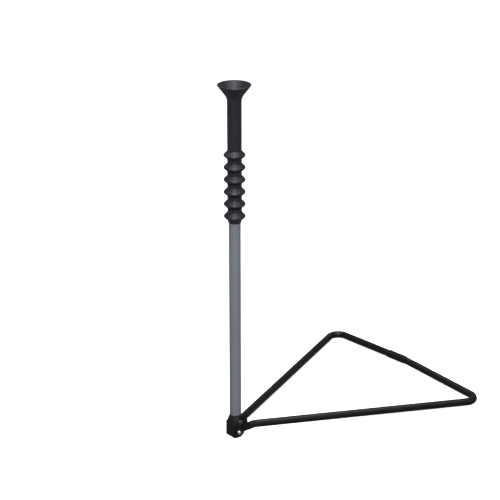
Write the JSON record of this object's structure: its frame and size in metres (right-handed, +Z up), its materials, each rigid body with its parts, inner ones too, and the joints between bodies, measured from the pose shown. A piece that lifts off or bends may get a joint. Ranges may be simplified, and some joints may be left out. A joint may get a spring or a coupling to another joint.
{
  "type": "batting tee",
  "caption": "Fold-away batting tee: triangular bent-tube base, hinged tube post and flexible rubber top with a flared cup that holds the ball.",
  "frame": {"origin": "on the floor, at the middle of the lower edge of the bracket's web, in front of the hinge", "axes": "+Z up along the post, +X from the hinge bracket to the middle of the crossbar, +Y to the left of that"},
  "size_m": [0.4281, 0.3634, 0.596],
  "materials": {
    "black_frame": "semi-gloss black paint",
    "grey_post": "satin grey paint",
    "black_rubber": "satin moulded rubber",
    "black_nylon": "matte",
    "black_oxide": "satin black oxide",
    "bright_zinc": "bright zinc plating"
  },
  "bodies": {
    "base": {"base_frame_left": "black_frame", "base_frame_right": "black_frame", "weld_bead_left": "black_frame", "weld_bead_right": "black_frame", "hinge_bracket": "black_frame", "lower_rivet": "bright_zinc", "lower_spacer": "bright_zinc", "pivot_rivet": "black_oxide", "nylon_washers": "black_nylon"},
    "post": {"hinge_knuckle": "black_nylon", "post_tube": "grey_post", "knuckle_rivet": "bright_zinc", "tube_collar": "black_rubber", "bellows": "black_rubber"},
    "top": {"ball_cup": "black_rubber"}
  },
  "joints": [
    {"name": "post_fold", "type": "hinge", "parent": "base", "child": "post", "pos_m": [0.01073, 0, 0.0265], "axis": [0, 1, 0], "range_deg": [0, 87]},
    {"name": "neck_flex", "type": "hinge", "parent": "post", "child": "top", "pos_m": [0.01073, 0, 0.452], "axis": [1, 0, 0], "range_deg": [-25, 25], "stiffness_Nm_per_rad": 1.5, "deforming": ["bellows"]}
  ]
}
